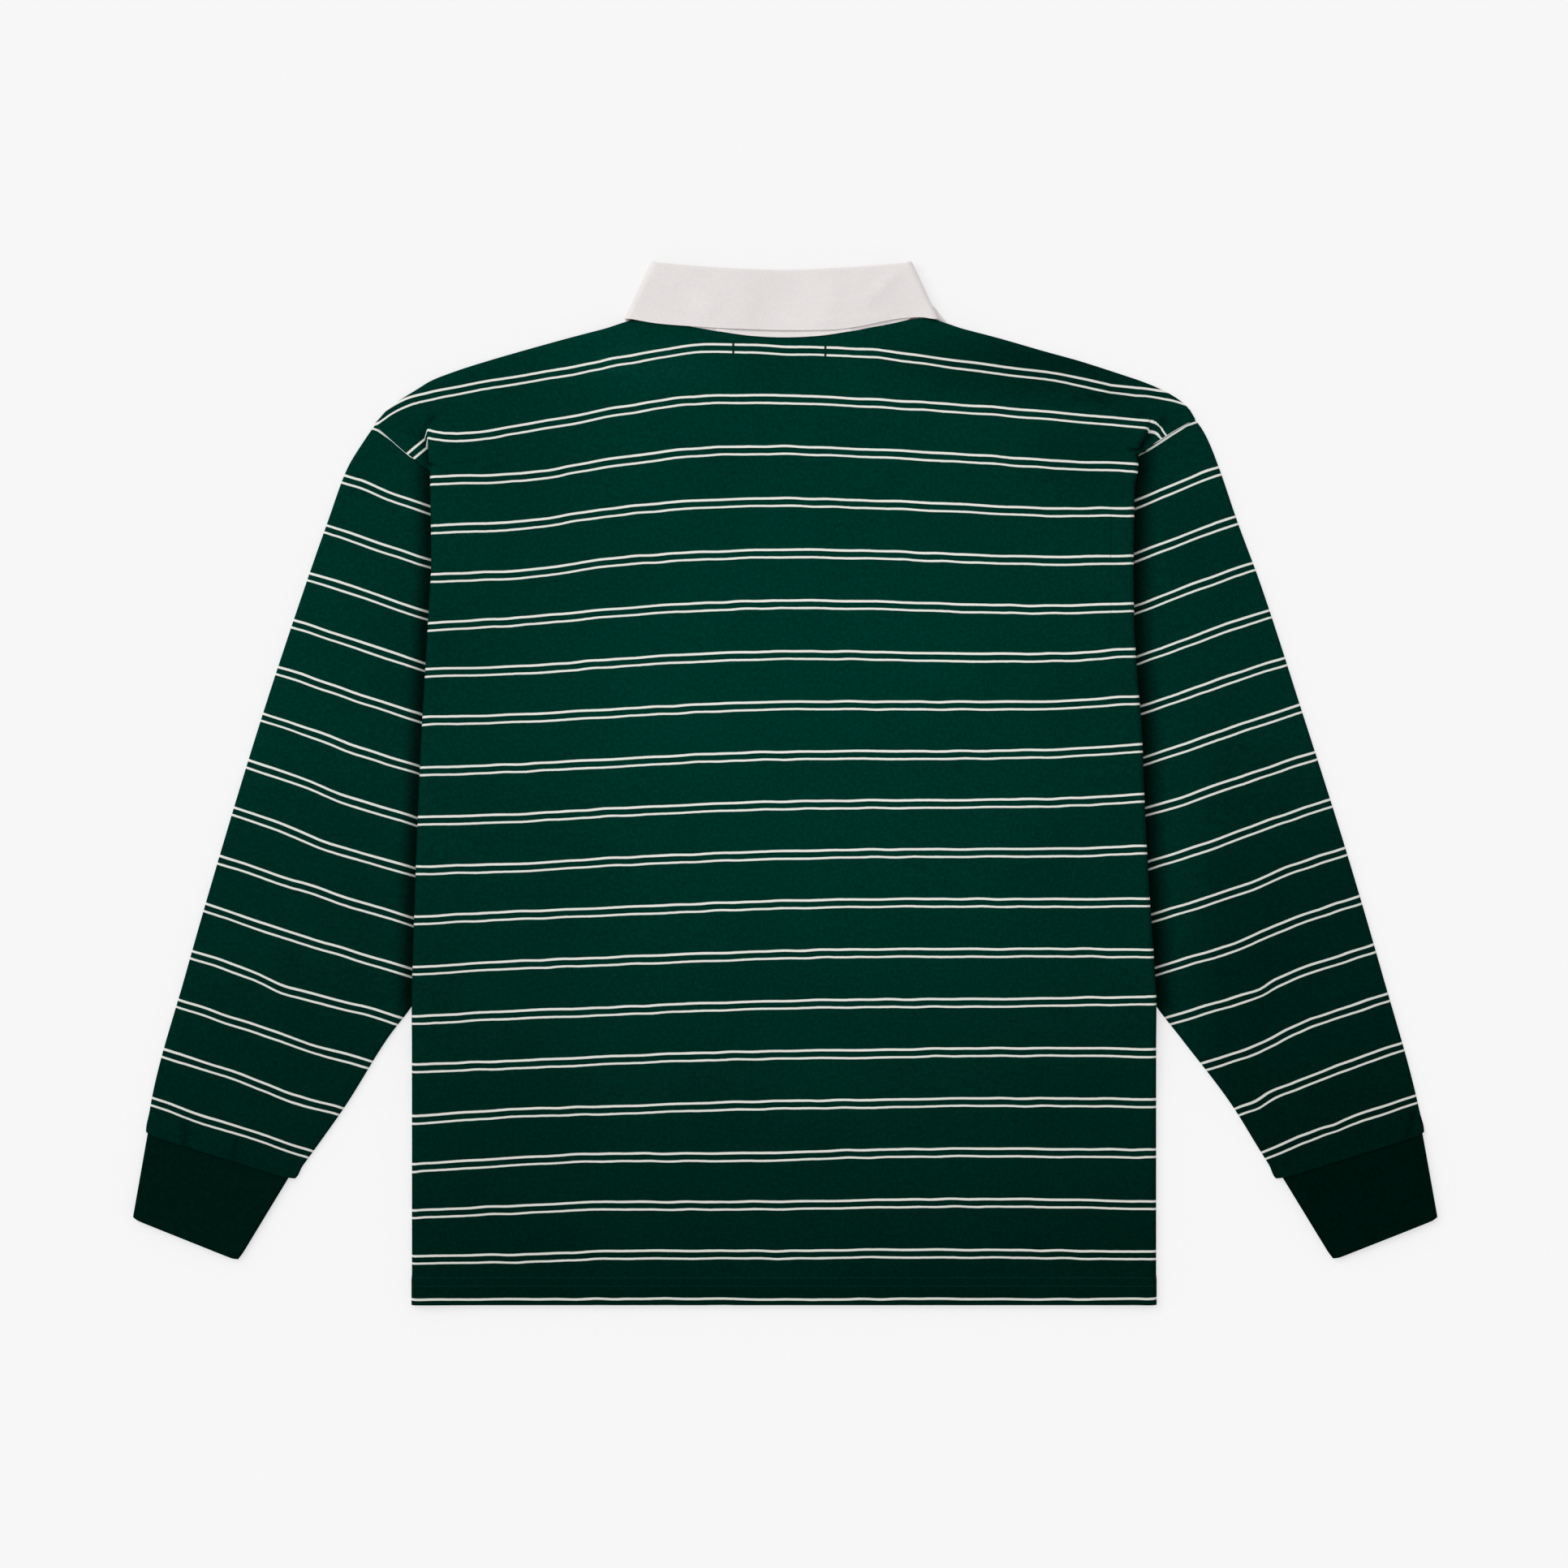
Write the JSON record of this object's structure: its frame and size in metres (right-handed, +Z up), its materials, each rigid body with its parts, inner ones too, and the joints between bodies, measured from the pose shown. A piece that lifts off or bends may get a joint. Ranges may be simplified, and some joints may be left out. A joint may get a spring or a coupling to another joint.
{
  "type": "rugby shirt",
  "caption": "Long-sleeved striped rugby shirt laid flat, back up, with a white woven collar, ribbed cuffs, dropped shoulders and a straight hem.",
  "frame": {"origin": "under the middle of the laid-out shirt, on the surface that it lies on", "axes": "+Z up out of the shirt's back, +Y from the hem to the collar, +X across the shirt to the sleeve that is on the right as seen"},
  "size_m": [0.9968, 0.7972, 0.0104],
  "materials": {
    "striped_jersey": "heavy matte cotton jersey, dark green with pairs of thin cream knit stripes",
    "cuff_rib": "matte knitted rib, very dark green",
    "collar_drill": "matte white cotton drill"
  },
  "bodies": {
    "root": {"back_panel": "striped_jersey", "front_panel": "striped_jersey", "sleeve_left": "striped_jersey", "sleeve_right": "striped_jersey", "cuff_left": "cuff_rib", "cuff_right": "cuff_rib", "collar_fall": "collar_drill", "collar_stand": "collar_drill", "placket_outer": "collar_drill", "placket_inner": "collar_drill"}
  },
  "joints": []
}
